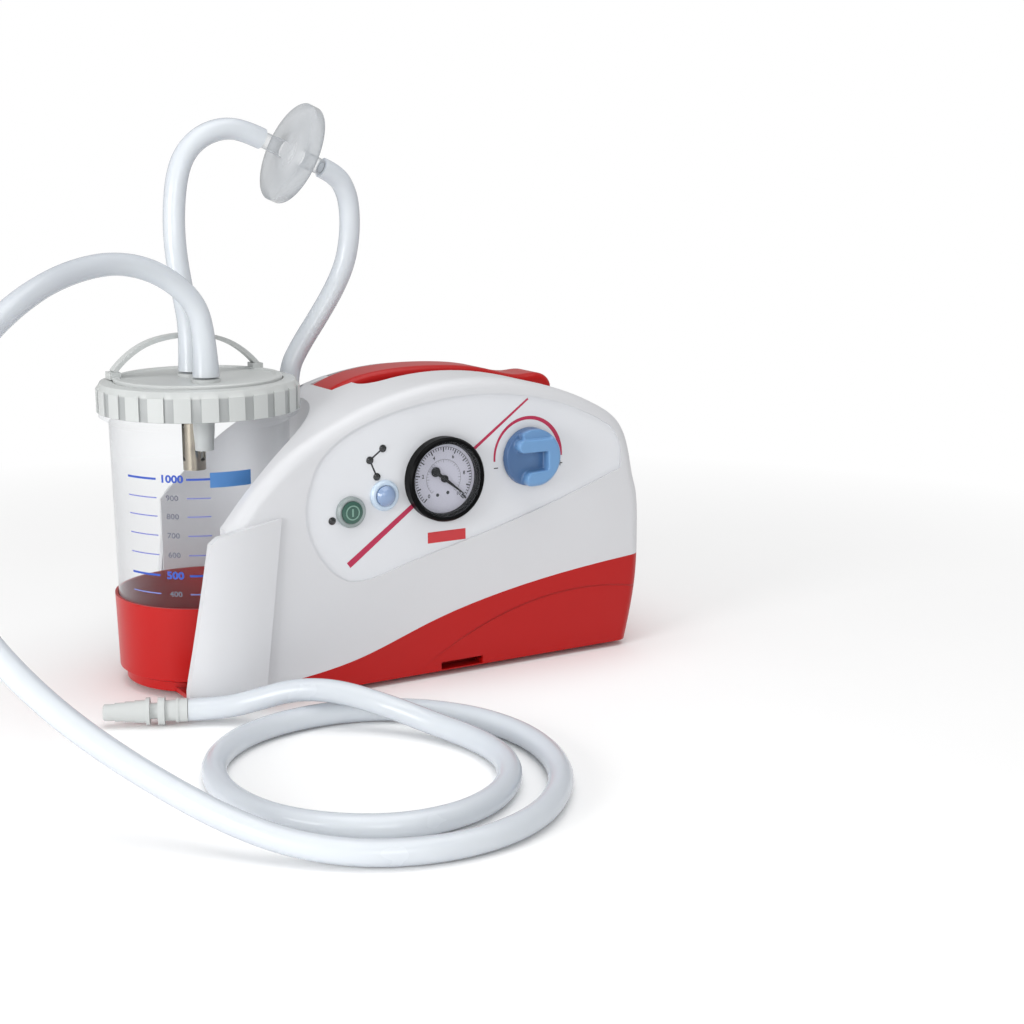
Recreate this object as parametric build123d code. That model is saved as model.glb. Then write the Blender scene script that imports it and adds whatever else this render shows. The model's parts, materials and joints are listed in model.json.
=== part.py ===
"""Portable vacuum aspirator: a hollow housing with a carry grip, a gauge, a regulator knob and two
push buttons, a collection jar with a screw lid that stands in a cup, and silicone hoses with a filter.
Millimetres. +Z is up, the control panel faces -Y, the jar stands at -X.
The origin is the middle of the object's footprint, hoses apart, on the surface that it stands on.
Shapes are drawn about the housing's middle plane and are moved to the origin as they are saved."""
import math
import os

from build123d import *

os.makedirs("parts", exist_ok=True)

# The knob stands further out than the rear pad, so the middle plane lies behind the footprint's middle
middleY = 4.04

# Housing
bodyHalfDepth = 86.0
wall = 3.0
edgeRound = 9.0
bodyLeft = -129.5
rearLeft = -112.0
bodyRight = 178.0
bodyBottom = 4.0
crownY = 25.0
far = 300.0

# Jar, cup and lid share one upright axis
jarX = -113.0
recessR = 71.0
cupR = 58.6
cupWall = 1.8
cupRimZ = 60.0
cupFloorZ = 14.0
jarR = 56.2
jarTopR = 57.7
jarWall = 2.2
jarBottomZ = 16.0
jarRimZ = 190.5
jarFlangeR = 63.8
jarFlangeZ = 176.0
ringR = 65.0
ringBottomZ = 178.8
ringTopZ = 198.4
ringBore = 60.6
ringRibs = 24
discTopZ = 200.6
discR = 54.0

# Panel and its controls, as places on the front face
panelDepth = 2.0
faceY = -bodyHalfDepth
panelY = faceY + panelDepth
gaugeX, gaugeZ = 19.5, 133.8
gaugeR = 27.7
gaugeProud = 7.0
knobX, knobZ = 84.5, 142.6
knobR = 19.8
knobTall = 13.0
knobLedge = 5.5
switchX, switchZ = -47.2, 118.5
pushX, pushZ = -23.0, 126.7
ledSpots = [(-59.9, 113.9), (-23.5, 157.1), (-32.8, 150.3), (-28.0, 139.2)]
ledR = 2.4
gaugeHole = 25.2
stemHole = 5.2
buttonHole = 8.2

# Nook beside the lid, well round the inlet, and openings in the rear
archR = 9.0
archY = -32.0
inletWellR = 11.0
inletPlate = (40.0, 88.0, 70.0, 98.0)
ventCount = 7

# Hoses
hoseR = 7.0
hoseBore = 4.0
spoutR = 3.7
spoutBore = 2.4
frontSpout = (jarX - 5.0, -27.0)
rearSpout = (jarX - 2.0, 6.0)
sleeveZ = 203.0
spoutTopZ = 222.0
inletX, inletY = -37.0, 30.0
inletBaseZ = 172.0
inletTopZ = 190.0


def save(name, shape):
    """Writes one sub-part, moved to the origin, and counts its solids."""
    solids = [Pos(0, middleY, 0) * solid for solid in shape.solids()]
    shape = solids[0] if len(solids) == 1 else Compound(children=solids)
    shape.label = name
    export_step(shape, f"parts/{name}.step")
    print(f"{name}: {len(solids)} solids")
    return shape


def upright(x, y, z0, z1, r, rTop=None):
    """A cylinder or cone that stands from z0 to z1."""
    tall = z1 - z0
    if rTop is None or abs(rTop - r) < 1e-6:
        form = Cylinder(r, tall, align=(Align.CENTER, Align.CENTER, Align.MIN))
    else:
        form = Cone(r, rTop, tall, align=(Align.CENTER, Align.CENTER, Align.MIN))
    return Pos(x, y, z0) * form


def facing(x, z, y0, y1, r, rEnd=None):
    """A cylinder or cone along Y, from y0 to y1, on the panel's side."""
    low, high = min(y0, y1), max(y0, y1)
    ends = (r, r if rEnd is None else rEnd)
    if y1 < y0:
        ends = (ends[1], ends[0])
    if abs(ends[0] - ends[1]) < 1e-6:
        form = Cylinder(ends[0], high - low, align=(Align.CENTER, Align.CENTER, Align.MIN))
    else:
        form = Cone(ends[0], ends[1], high - low, align=(Align.CENTER, Align.CENTER, Align.MIN))
    return Pos(x, low, z) * Rot(-90, 0, 0) * form


def block(x0, x1, y0, y1, z0, z1):
    """A box between two corners."""
    return Pos((x0 + x1) / 2, (y0 + y1) / 2, (z0 + z1) / 2) * Box(x1 - x0, y1 - y0, z1 - z0)


def sideFace(wires):
    """A face in the XZ plane from edges given there."""
    return make_face(Wire(wires))


def alongY(face, y0, y1):
    """A side view pushed from y0 to y1."""
    return Pos(0, y0, 0) * extrude(face, amount=y1 - y0, dir=(0, 1, 0))


def turned(profile, x=0.0, y=0.0):
    """A profile of (radius, height) points spun about an upright axis."""
    face = make_face(Polyline([(r, 0, z) for r, z in profile], close=True))
    return Pos(x, y, 0) * revolve(face, axis=Axis.Z)


def turnedFront(profile, x, z):
    """A profile of (radius, distance out of the face) points spun about an axis along Y."""
    face = make_face(Polyline([(r, 0, out) for r, out in profile], close=True))
    return Pos(x, 0, z) * Rot(90, 0, 0) * revolve(face, axis=Axis.Z)


def inwards(curve, t, inset):
    """A point of the curve moved towards the housing's inside."""
    way = curve % t
    spot = curve @ t
    return (spot.X + way.Z * inset, 0, spot.Z - way.X * inset)


# Side views of the housing, front and rear: the roof rises from the jar to its crest and falls to the
# right end, and the rear is lower, so the roof slopes to the back
frontRoof = [(bodyLeft, 114.5), (-118.0, 128.5), (-106.0, 141.5), (-88.7, 156.5), (-61.2, 172.5), (-33.0, 184.5),
             (2.0, 194.0), (40.0, 197.5), (80.0, 193.6), (117.0, 183.5), (147.0, 170.0)]
rearRoof = [(rearLeft, 104.5), (-104.0, 112.5), (-96.0, 120.3), (-83.0, 132.5), (-61.2, 149.0), (-33.0, 164.0),
            (2.0, 177.0), (40.0, 184.0), (80.0, 182.5), (117.0, 174.5), (147.0, 162.5)]
frontEnd = [(147.0, 170.0), (163.5, 155.0), (173.0, 122.0), (bodyRight, 82.5)]
rearEnd = [(147.0, 162.5), (162.5, 148.5), (172.5, 119.0), (bodyRight, 82.5)]
toe = [(bodyRight, 82.5), (bodyRight - 1.0, 50.0), (168.0, bodyBottom)]


def bodyOutline(roof, end, inset):
    """A side view, drawn smaller by inset all round."""
    curves = []
    for spots, first, last in ((roof, (0.75, 0, 0.85), (1.0, 0, -0.55)), (end, (1.0, 0, -0.55), (0, 0, -1)),
                               (toe, (0, 0, -1), (-0.25, 0, -1))):
        curve = Spline([(x, 0, z) for x, z in spots], tangents=[first, last])
        if inset:
            places = [k / (len(spots) - 1) for k in range(len(spots))]
            curve = Spline([inwards(curve, t, inset) for t in places], tangents=[first, last])
        curves.append(curve)
    heel = curves[-1] @ 1
    brow = curves[0] @ 0
    left = roof[0][0]
    low = [heel, (left, 0, bodyBottom), brow]
    if inset:
        low = [heel, (heel.X, 0, bodyBottom), (left, 0, bodyBottom), (left, 0, brow.Z), brow]
    return sideFace(curves + list(Polyline(low).edges()))


def bodyForm(inset):
    """The whole housing as one block: an even front half and a rear half that falls to the back."""
    reach = bodyHalfDepth - inset
    front = alongY(bodyOutline(frontRoof, frontEnd, inset), -reach, crownY)
    sections = [Pos(0, crownY, 0) * bodyOutline(frontRoof, frontEnd, inset),
                Pos(0, reach, 0) * bodyOutline(rearRoof, rearEnd, inset)]
    return front + loft(sections, ruled=True)


def splitLine():
    """The line on which the white cover meets the red base."""
    spots = [(-170.0, 5.0), (-123.5, 11.0), (-92.1, 14.0), (-43.7, 21.6), (6.9, 38.0), (59.5, 51.0),
             (114.4, 59.5), (185.0, 66.0)]
    return Spline([(x, 0, z) for x, z in spots])


def belowSplit(y0, y1):
    """Everything lower than the split line."""
    curve = splitLine()
    rest = [Line((185.0, 0, 66.0), (185.0, 0, -20.0)), Line((185.0, 0, -20.0), (-170.0, 0, -20.0)),
            Line((-170.0, 0, -20.0), (-170.0, 0, 5.0))]
    return alongY(sideFace([curve] + rest), y0, y1)


# Panel outline: a lens with a round left end, inside the ridge of the front edge
panelTop = [(-75.4, 137.1), (-66.0, 155.5), (-35.8, 174.0), (1.9, 183.4), (40.0, 187.0), (86.3, 182.5),
            (126.0, 170.5), (150.0, 158.0)]
panelEnd = [(150.0, 158.0), (158.5, 144.0), (158.6, 127.5)]
panelLow = [(158.6, 127.5), (101.1, 108.3), (42.0, 92.0), (-15.0, 78.0), (-50.0, 74.0), (-70.0, 92.0),
            (-75.4, 137.1)]


def panelFace():
    """The panel's outline on the front face."""
    edges = [Spline([(x, 0, z) for x, z in panelTop]), Spline([(x, 0, z) for x, z in panelEnd]),
             Spline([(x, 0, z) for x, z in panelLow])]
    return sideFace(edges)


# Ear: the curved pad that wraps the front and the rear of the jar
earLeft = -157.0
earTop = 120.0
earThick = 5.0
earProud = 4.0
rearEarShift = 33.0


def ear():
    """One ear, from its plan curve and its front outline."""
    outY = faceY - earProud
    outer = Spline([(earLeft, outY + 15.0, 0), (-146.0, outY + 6.0, 0), (-128.0, outY + 0.6, 0),
                    (-108.0, outY + 0.2, 0), (-90.0, outY + 2.2, 0)])
    inner = Spline([(-90.0, outY + earThick + 2.2, 0), (-108.0, outY + earThick, 0),
                    (-128.0, outY + earThick + 0.6, 0), (-144.0, outY + earThick + 5.5, 0),
                    (earLeft + 2.0, outY + earThick + 14.5, 0)])
    plan = make_face(Wire([outer, Line(outer @ 1, inner @ 0), inner, Line(inner @ 1, outer @ 0)]))
    standing = extrude(plan, amount=earTop + 1.0, dir=(0, 0, 1))
    corner = [(-156.5, 1.0), (-154.0, 23.0), (-141.6, 108.0), (-137.0, 112.3), (-124.0, 115.6), (-95.7, earTop),
              (-109.2, 13.4), (-111.0, 1.0)]
    front = make_face(Polyline([(x, 0, z) for x, z in corner], close=True))
    return standing & alongY(front, outY - 2.0, outY + 30.0)


# Carry grip over its finger pocket
gripHalf = 17.0
gripRound = 5.0
pocketHalf = 38.0
pocketLeft, pocketRight = -12.0, 122.0
pocketFloorZ = 158.0
gripSpots = [(-27.0, 186.5), (-6.6, 194.0), (19.5, 197.6), (62.4, 197.4), (91.9, 193.4), (124.0, 187.2),
             (134.0, 187.6), (141.4, 185.6), (147.0, 178.5)]
gripUnder = [(147.0, 170.0), (130.0, 172.0), (112.0, 175.0), (88.0, 179.5), (60.0, 183.5), (22.0, 183.8),
             (-2.0, 178.0), (-14.0, 173.0), (-27.0, 176.0)]


def gripSolid(grow):
    """The grip: a curved bar along the roof, rounded across."""
    top = Spline([(x, 0, z) for x, z in gripSpots])
    under = Spline([(x, 0, z) for x, z in gripUnder])
    face = sideFace([top, Line(top @ 1, under @ 0), under, Line(under @ 1, top @ 0)])
    bar = alongY(face, -gripHalf - grow, gripHalf + grow)
    return bar


def pocket():
    """The hollow in the roof where fingers reach round the grip."""
    half = pocketHalf
    hole = block(pocketLeft, pocketRight, -half, half, pocketFloorZ, 230.0)
    return fillet(hole.edges().filter_by(Axis.Z), 14.0)


def roundedForm():
    """The housing's outer form with its front and rear rims rounded."""
    outer = bodyForm(0)
    rims = [e for e in outer.edges() if abs(abs(e.center().Y) - bodyHalfDepth) < 0.01
            and e.center().Z > bodyBottom + 1.0 and e.center().X > bodyLeft + 20.0]
    return fillet(rims, edgeRound)


def housing(outer):
    """The hollow housing before it is cut into cover and base."""
    inner = bodyForm(wall) & block(bodyLeft + wall, far, -far, far, bodyBottom + wall, far)
    hollow = inner - upright(jarX, 0, 0, far, recessR + wall) - block(-far, jarX, -far, far, 0, far)
    hollow = hollow - block(pocketLeft - wall, pocketRight + wall, -pocketHalf - wall, pocketHalf + wall,
                            pocketFloorZ - wall, far)
    recess = upright(jarX, 0, 0, far, recessR) + block(-far, jarX, -recessR, recessR, 0, far)
    return outer - recess - pocket() - hollow


def panelHoles():
    """What the controls and lamps pass through in the panel."""
    reach = 10.0
    holes = [facing(x, z, faceY - reach, faceY + reach + 2.0, r)
             for x, z, r in ((gaugeX, gaugeZ, gaugeHole), (knobX, knobZ, stemHole), (switchX, switchZ, buttonHole),
                             (pushX, pushZ, buttonHole))]
    lamps = [facing(x, z, faceY - reach, faceY + 6.0, ledR + 0.1) for x, z in ledSpots]
    return holes + lamps


print("housing")
form = roundedForm()
shell = housing(form)
below = belowSplit(-120, 120)
frontEar = ear()
rearEar = Pos(rearEarShift, 0, 0) * frontEar.mirror(Plane.XZ)
recess = upright(jarX, 0, 0, far, recessR)

cover = shell - below
cover = cover + (frontEar - recess) + (rearEar - recess)
cover = cover - alongY(panelFace(), faceY - 1.0, panelY)
arch = Pos(-60.0, archY, 165.0) * Rot(0, 90, 0) * Cylinder(archR, 32.0, align=(Align.CENTER, Align.CENTER, Align.MIN))
cover = cover - arch
cover = cover - upright(inletX, inletY, inletBaseZ, far, inletWellR)
for hole in panelHoles():
    cover = cover - hole
socketLeft, socketRight, socketLow, socketHigh = inletPlate
cover = cover - block(socketLeft, socketRight, bodyHalfDepth - 12, bodyHalfDepth + 10, socketLow, socketHigh)
for k in range(ventCount):
    slotX = -36.0 + k * 9.0
    cover = cover - block(slotX, slotX + 4.0, bodyHalfDepth - 12, bodyHalfDepth + 10, 78.0, 118.0)
cover = cover - upright(inletX, inletY, inletBaseZ - 12.0, inletBaseZ + 1.0, spoutR + 0.1)
gripBar = gripSolid(0)
cover = cover - gripSolid(0.2)
save("upper_cover", cover)

# Base: the housing's lower part with its floor, the jar's cup and the plinth under it
print("base")
base = shell & below
floorPlate = form & block(bodyLeft, far, -far, far, bodyBottom, bodyBottom + wall)
floorPlate = floorPlate - block(-far, jarX - 10.0, -far, far, 0, far)
apronPlan = upright(jarX, 0, bodyBottom, bodyBottom + 3.0, 53.0) + block(jarX, -90, -80, 80, bodyBottom,
                                                                        bodyBottom + 3.0)
apronWing = block(-150.0, jarX, -72.0, 0, bodyBottom, bodyBottom + 3.0)
apronWing = fillet(apronWing.edges().filter_by(Axis.Z).group_by(Axis.X)[0], 14.0)
cup = turned([(0, cupFloorZ), (cupR - cupWall - 1.2, cupFloorZ), (cupR - cupWall, cupRimZ),
              (cupR, cupRimZ), (cupR - 1.3, cupFloorZ - 2.0), (53.0, cupFloorZ - 4.0), (53.0, bodyBottom),
              (50.5, bodyBottom), (50.5, cupFloorZ - 4.0), (0, cupFloorZ - 4.0)], jarX)
base = base + floorPlate + apronPlan + apronWing + cup
floorVents = 6
footSpots = [(-60.0, -66.0), (-60.0, 66.0), (150.0, -62.0), (150.0, 62.0), (jarX, 0.0)]
slot = (17.0, 48.6, 3.2, 8.2)
base = base - block(slot[0], slot[1], faceY - 3, faceY + 12, bodyBottom + 0.6, bodyBottom + 5.8)
for k in range(floorVents):
    ventX = 70.0 + k * 10.0
    base = base - block(ventX, ventX + 5.0, -20, 20, 0, 20)
base = base - frontEar - rearEar
base = base - block(rearLeft - 1.0, rearLeft + 5.0, bodyHalfDepth - wall, bodyHalfDepth + 1.0, 0, 15.0)
save("lower_base", base)

# Grip
gripEdges = [e for e in gripBar.edges() if abs(abs(e.center().Y) - gripHalf) < 0.01]
gripBar = fillet(gripEdges, gripRound)
save("carry_grip", gripBar)

# Panel overlay sheet with its holes
overlay = alongY(panelFace(), panelY - 0.6, panelY)
for hole in panelHoles():
    overlay = overlay - hole
save("panel_overlay", overlay)

# Gauge: case with bezel, dial, window, movement and needle
print("gauge")
skin = panelY - 0.6
front = -(faceY - gaugeProud)
caseBack = 60.0
fitting = facing(gaugeX, gaugeZ, -caseBack, -(caseBack - 14), 4.5)
save("gauge_case", fitting + turnedFront([(24.8, front), (26.6, front), (gaugeR, front - 1.6), (gaugeR, -skin),
                                (24.9, -skin), (24.9, caseBack), (0, caseBack), (0, caseBack + 2), (23.0, caseBack + 2),
                                (23.0, front - 3.2), (24.8, front - 3.2)], gaugeX, gaugeZ))
dialOut = front - 6.6
save("gauge_dial", turnedFront([(1.6, dialOut - 0.8), (22.9, dialOut - 0.8), (22.9, dialOut), (1.6, dialOut)],
                               gaugeX, gaugeZ))
save("gauge_window", turnedFront([(0, front - 3.1), (24.7, front - 3.1), (24.7, front - 1.3), (0, front - 1.3)],
                                 gaugeX, gaugeZ))
movement = block(gaugeX - 9, gaugeX + 9, -(caseBack + 10), -(caseBack + 2), gaugeZ - 9, gaugeZ + 9)
stub = facing(gaugeX, gaugeZ, -(caseBack + 10), -(dialOut - 2.0), 1.2)
stub = stub - facing(gaugeX, gaugeZ, -(dialOut - 6.0), -(dialOut + 2.0), 0.56)
save("gauge_movement", movement + stub)
needle = facing(gaugeX, gaugeZ, -(dialOut + 0.6), -(dialOut + 2.2), 2.4)
needle = needle + facing(gaugeX, gaugeZ, -(dialOut - 5.6), -(dialOut + 1.4), 0.5)
blade = make_face(Polyline([(-9.0, 0, 1.3), (-9.0, 0, -1.3), (1.0, 0, -1.1), (18.5, 0, -0.25), (18.5, 0, 0.25),
                            (1.0, 0, 1.1)], close=True))
blade = alongY(blade, -(dialOut + 1.5), -(dialOut + 0.9))
tail = facing(-8.0, 0, -(dialOut + 0.9), -(dialOut + 1.5), 3.2)
needle = needle + Pos(gaugeX, 0, gaugeZ) * Rot(0, 38.0, 0) * (blade + tail)
save("gauge_needle", needle)

# Green power button in its ring, and the blue push button in its ring
print("buttons")
ringOut = -faceY + 2.2


def buttonRing(x, z, outerR, boreR, out):
    """A ring on the panel with a sleeve that carries the button."""
    return turnedFront([(boreR, out - 0.6), (boreR + 0.8, out), (outerR - 1.2, out), (outerR, out - 1.4),
                        (outerR, -skin), (8.0, -skin), (8.0, 66.0), (3.0, 66.0), (3.0, 68.0),
                        (boreR, 68.0)], x, z)


def plunger(x, z, r, out, crown):
    """A cap with a shallow crown and a stem to the rear."""
    return turnedFront([(0, 64.0), (2.6, 64.0), (2.6, 74.0), (r, 74.0), (r, out), (r * 0.72, out + crown * 0.7),
                        (r * 0.38, out + crown), (0, out + crown * 1.08)], x, z)


save("power_button_ring", buttonRing(switchX, switchZ, 10.0, 7.25, ringOut))
save("power_button", plunger(switchX, switchZ, 7.15, ringOut - 0.2, 0.6))
save("push_button_ring", buttonRing(pushX, pushZ, 10.0, 6.6, ringOut - 0.8))
save("push_button", plunger(pushX, pushZ, 6.5, ringOut, 3.4))

lamps = [turnedFront([(0, 76.0), (ledR, 76.0), (ledR, -skin + 0.5), (ledR * 0.6, -skin + 1.1), (0, -skin + 1.3)], x, z)
         for x, z in ledSpots]
save("indicator_lamps", Compound(children=lamps))

# Regulator: valve body behind the panel, turning stem and the knob with its finger bar
print("regulator")
valve = turnedFront([(2.62, 50.0), (12.0, 50.0), (12.0, 78.0), (5.0, 78.0), (5.0, -skin), (2.62, -skin)],
                    knobX, knobZ)
valve = valve + turnedFront([(0, 44.0), (12.0, 44.0), (12.0, 50.0), (0, 50.0)], knobX, knobZ)
valve = valve + facing(knobX, knobZ, -44.0, -30.0, 3.7)
save("regulator_valve", valve)
knobBase = -skin + 0.6
save("regulator_stem", turnedFront([(0, 50.4), (2.55, 50.4), (2.55, knobBase + 5.0), (0, knobBase + 5.0)],
                                   knobX, knobZ))


def lobe(x0, z0, x1, z1, r):
    """A round-ended bar on the knob's face, between two places given from the knob's middle."""
    low, high = -(knobBase + knobTall), -(knobBase + knobLedge - 1.0)
    long = math.hypot(x1 - x0, z1 - z0)
    slant = math.degrees(math.atan2(z1 - z0, x1 - x0))
    middle = Pos(knobX + (x0 + x1) / 2, (low + high) / 2, knobZ + (z0 + z1) / 2)
    bar = middle * Rot(0, -slant, 0) * Box(long, high - low, 2 * r)
    return bar + facing(knobX + x0, knobZ + z0, low, high, r) + facing(knobX + x1, knobZ + z1, low, high, r)


knobForm = turnedFront([(0, knobBase + 4.0), (knobR, knobBase), (knobR - 0.6, knobBase + knobTall - 2.5),
                        (knobR - 2.6, knobBase + knobTall), (0, knobBase + knobTall)], knobX, knobZ)
knob = turnedFront([(0, knobBase + 5.0), (2.55, knobBase + 5.0), (2.55, knobBase), (knobR, knobBase),
                    (knobR - 0.3, knobBase + knobLedge), (0, knobBase + knobLedge + 1.5)], knobX, knobZ)
fingerForm = lobe(-10.0, 8.5, 20.0, 8.3, 4.2) + lobe(-3.0, -14.0, 20.0, -13.0, 5.0) + lobe(14.0, 8.0, 14.0, -13.0, 5.5)
knob = knob + (fingerForm & knobForm)
brow = lobe(-6.0, 15.5, 12.0, 15.5, 3.6) & knobForm
knob = knob + (brow - block(0, 200, -(knobBase + knobTall) - 1, -(knobBase + knobTall - 3.0), 0, 300))
save("vacuum_knob", knob)

# Inlet barb on the shoulder
print("inlet")
barb = turned([(spoutBore, inletBaseZ - 20.0), (spoutR, inletBaseZ - 20.0), (spoutR, inletBaseZ - wall),
               (spoutR, inletBaseZ), (7.5, inletBaseZ), (7.5, inletBaseZ + 2.0), (spoutR, inletBaseZ + 2.0),
               (spoutR, inletTopZ - 3.0), (spoutR - 0.6, inletTopZ), (spoutBore, inletTopZ)], inletX, inletY)
save("inlet_barb", barb)

# Jar: a turned wall with a flange under the thread
print("jar")
jar = turned([(0, jarBottomZ), (jarR - 4.5, jarBottomZ), (jarR - 1.5, jarBottomZ + 4.0), (jarR, cupRimZ),
              (jarTopR, jarFlangeZ - 4.0), (jarFlangeR, jarFlangeZ), (jarFlangeR, jarFlangeZ + 2.4),
              (jarTopR + 1.0, jarFlangeZ + 2.4), (jarTopR + 1.0, jarRimZ), (jarTopR - jarWall, jarRimZ),
              (jarTopR - jarWall, jarFlangeZ - 4.0), (jarR - jarWall, cupRimZ), (jarR - jarWall - 1.5, jarBottomZ + 6.0),
              (jarR - jarWall - 5.0, jarBottomZ + 2.4), (0, jarBottomZ + 2.4)], jarX)
save("collection_jar", jar)

# Lid: gasket, disc with its spouts, screw ring with ribs, handle, float cage and float
print("lid")
save("lid_gasket", turned([(54.6, jarRimZ + 0.3), (58.4, jarRimZ + 0.3), (58.4, 192.6), (54.6, 192.6)], jarX))
disc = turned([(0, 192.6), (58.6, 192.6), (58.6, 195.0), (discR, 195.0), (discR, 199.8), (discR - 0.8, discTopZ),
               (discR - 4.0, discTopZ), (discR - 5.0, discTopZ - 0.9), (0, discTopZ - 0.9)], jarX)


def spout(x, y, low):
    """A hose spout that stands on the disc, with a collar and a tube below."""
    return turned([(spoutBore, low), (spoutR, low), (spoutR, 192.6), (spoutR, 199.0), (9.0, 199.0), (9.0, 201.6),
                   (spoutR, 202.4), (spoutR, spoutTopZ - 3.0), (spoutR - 0.6, spoutTopZ), (spoutBore, spoutTopZ)], x, y)


for x, y in (frontSpout, rearSpout):
    disc = disc - upright(x, y, 180, 230, spoutR)
    disc = disc + spout(x, y, 184.0)
for x in (jarX - 49.0, jarX + 49.0):
    disc = disc + block(x - 3.5, x + 3.5, 17.0, 27.0, 199.0, 203.5)
save("lid_disc", disc)

ring = turned([(ringBore, ringBottomZ), (ringR - 1.2, ringBottomZ), (ringR - 1.2, ringTopZ - 3.2),
               (ringR - 2.6, ringTopZ - 0.6), (ringR - 4.5, ringTopZ), (discR + 0.6, ringTopZ),
               (discR + 0.6, 195.4), (ringBore, 195.4)], jarX)
ribAngle = 360.0 / ringRibs
rib = turned([(ringR - 3.0, ringBottomZ + 0.4), (ringR, ringBottomZ + 0.4), (ringR, ringTopZ - 4.4), (ringR - 3.0, ringTopZ - 1.4)], 0)
ribWedge = make_face(Polyline([(0, 0, 0), (90, -90 * math.tan(math.radians(ribAngle * 0.31)), 0),
                               (90, 90 * math.tan(math.radians(ribAngle * 0.31)), 0)], close=True))
ribCut = Pos(0, 0, ringBottomZ - 1) * extrude(ribWedge, amount=30, dir=(0, 0, 1))
oneRib = rib & ribCut
for k in range(ringRibs):
    ring = ring + Pos(jarX, 0, 0) * Rot(0, 0, k * ribAngle) * oneRib
save("lid_ring", ring)

handleY = 22.0
handleHalf = 49.0
handleSpots = [(-handleHalf, 203.5), (-39.0, 213.0), (-27.0, 220.0), (-12.0, 223.8), (0.0, 224.6), (12.0, 223.8),
               (27.0, 220.0), (39.0, 213.0), (handleHalf, 203.5)]
handlePath = Spline([(jarX + x, handleY, z) for x, z in handleSpots])
handleSection = Plane(origin=handlePath @ 0, x_dir=(0, 1, 0), z_dir=handlePath % 0) * Rectangle(8.0, 2.8)
save("lid_handle", sweep(handleSection, path=handlePath) - disc)

cageX, cageY = jarX - 1.5, 8.0
cageR = 7.5
cageTopZ = 192.4
cageLowZ = 138.0
cage = upright(cageX, cageY, cageLowZ, 183.6, cageR) - upright(cageX, cageY, cageLowZ - 1, 182.0, cageR - 1.2)
cage = cage + turned([(cageR - 3.0, cageLowZ), (cageR, cageLowZ), (cageR, cageLowZ + 1.6), (cageR - 3.0, cageLowZ + 1.6)], cageX, cageY)
for k in range(3):
    cage = cage - Pos(cageX, cageY, 158.0) * Rot(0, 0, 60 + 120 * k) * block(2, 12, -2.2, 2.2, -14, 14)
cage = cage - upright(rearSpout[0], rearSpout[1], 170, 190, spoutBore)
save("float_cage", cage)
save("float", turned([(0, 143.0), (2.5, 143.0), (cageR - 2.0, 145.5), (cageR - 2.0, 164.0), (2.5, 168.0), (0, 168.0)],
                     cageX, cageY))

# Feet, screws and the power inlet
print("feet")
feet = [turned([(0, 0), (8.0, 0), (9.0, 1.0), (9.0, bodyBottom), (0, bodyBottom)], x, y) for x, y in footSpots]
save("rubber_feet", Compound(children=feet))

rearY = bodyHalfDepth
inletMidX = (inletPlate[0] + inletPlate[1]) / 2
inletMidZ = (inletPlate[2] + inletPlate[3]) / 2
socket = block(inletPlate[0] + 0.1, inletPlate[1] - 0.1, rearY - 14, rearY + 1.2, inletPlate[2] + 0.1, inletPlate[3] - 0.1)
flange = block(inletPlate[0] - 3.0, inletPlate[1] + 3.0, rearY, rearY + 1.6, inletPlate[2] - 3.0, inletPlate[3] + 3.0)
socketWell = block(inletMidX - 12.0, inletMidX + 12.0, rearY - 12, rearY + 5, inletMidZ - 8.0, inletMidZ + 8.0)
socket = (socket + flange) - socketWell
for x in (-7.0, 0.0, 7.0):
    socket = socket + block(inletMidX + x - 1.0, inletMidX + x + 1.0, rearY - 12.5, rearY - 3.0, inletMidZ - 2, inletMidZ + 2)
save("power_inlet", socket)

# Works inside: motor, pump, circuit board and fan
print("works")
motorX, motorZ = 100.0, 52.0
motorR = 24.0
motorStart, motorEnd = 20.0, 72.0
shaftBore = 2.05
motor = facing(motorX, motorZ, motorStart, motorEnd, motorR)
motor = motor - facing(motorX, motorZ, motorStart - 1, motorEnd + 1, shaftBore)
motorFoot = block(motorX - 26, motorX + 26, motorStart + 6, motorEnd - 6, bodyBottom + 3.0, 30.0)
motorFoot = motorFoot - facing(motorX, motorZ, motorStart, motorEnd, motorR)
save("motor_case", motor)
save("motor_cradle", motorFoot)
crank = facing(motorX, motorZ, 12.0, 18.0, 9.0) + facing(motorX + 4.5, motorZ, 2.0, 12.0, 3.0)
save("motor_shaft", facing(motorX, motorZ, 12.0, motorEnd + 8.0, 2.0) + crank)
fanY = motorEnd + 2.0
fan = facing(motorX, motorZ, fanY, fanY + 6.0, 5.0) - facing(motorX, motorZ, fanY - 1, fanY + 7, 2.0)
for k in range(6):
    vane = block(4.2, 19.0, -0.7, 0.7, 0.0, 5.0)
    fan = fan + Pos(motorX, fanY + 5.4, motorZ) * Rot(90, 0, 0) * Rot(0, 0, 60 * k) * vane
save("cooling_fan", fan)
pump = block(motorX - 30, motorX + 30, -40.0, -2.0, bodyBottom + 3.0, 84.0)
pump = pump - facing(motorX, motorZ, -30.0, 0.0, 16.0)
save("pump_housing", pump)
head = block(motorX - 26, motorX + 26, -38.0, -4.0, 84.0, 98.0)
for k in range(5):
    head = head - block(motorX - 22 + k * 10, motorX - 18 + k * 10, -39.0, -3.0, 88.0, 99.0)
save("pump_head", head)
board = block(-30.0, 25.0, -70.0, -20.0, bodyBottom + 7.0, bodyBottom + 8.6)
posts = [upright(x, y, bodyBottom + 3.0, bodyBottom + 7.0, 3.0) for x, y in ((-25, -65), (20, -65), (-25, -25), (20, -25))]
save("board_posts", Compound(children=posts))
save("circuit_board", board)
transformer = block(-30.0, 10.0, 14.0, 56.0, bodyBottom + 3.0, 44.0)
save("transformer", transformer)


# Hoses: straight runs joined by arcs, solid, with a bore at each end for the spout inside it
print("hoses")


def routeLength(points):
    """The runs added up."""
    return sum(math.dist(a, b) for a, b in zip(points, points[1:]))


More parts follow.
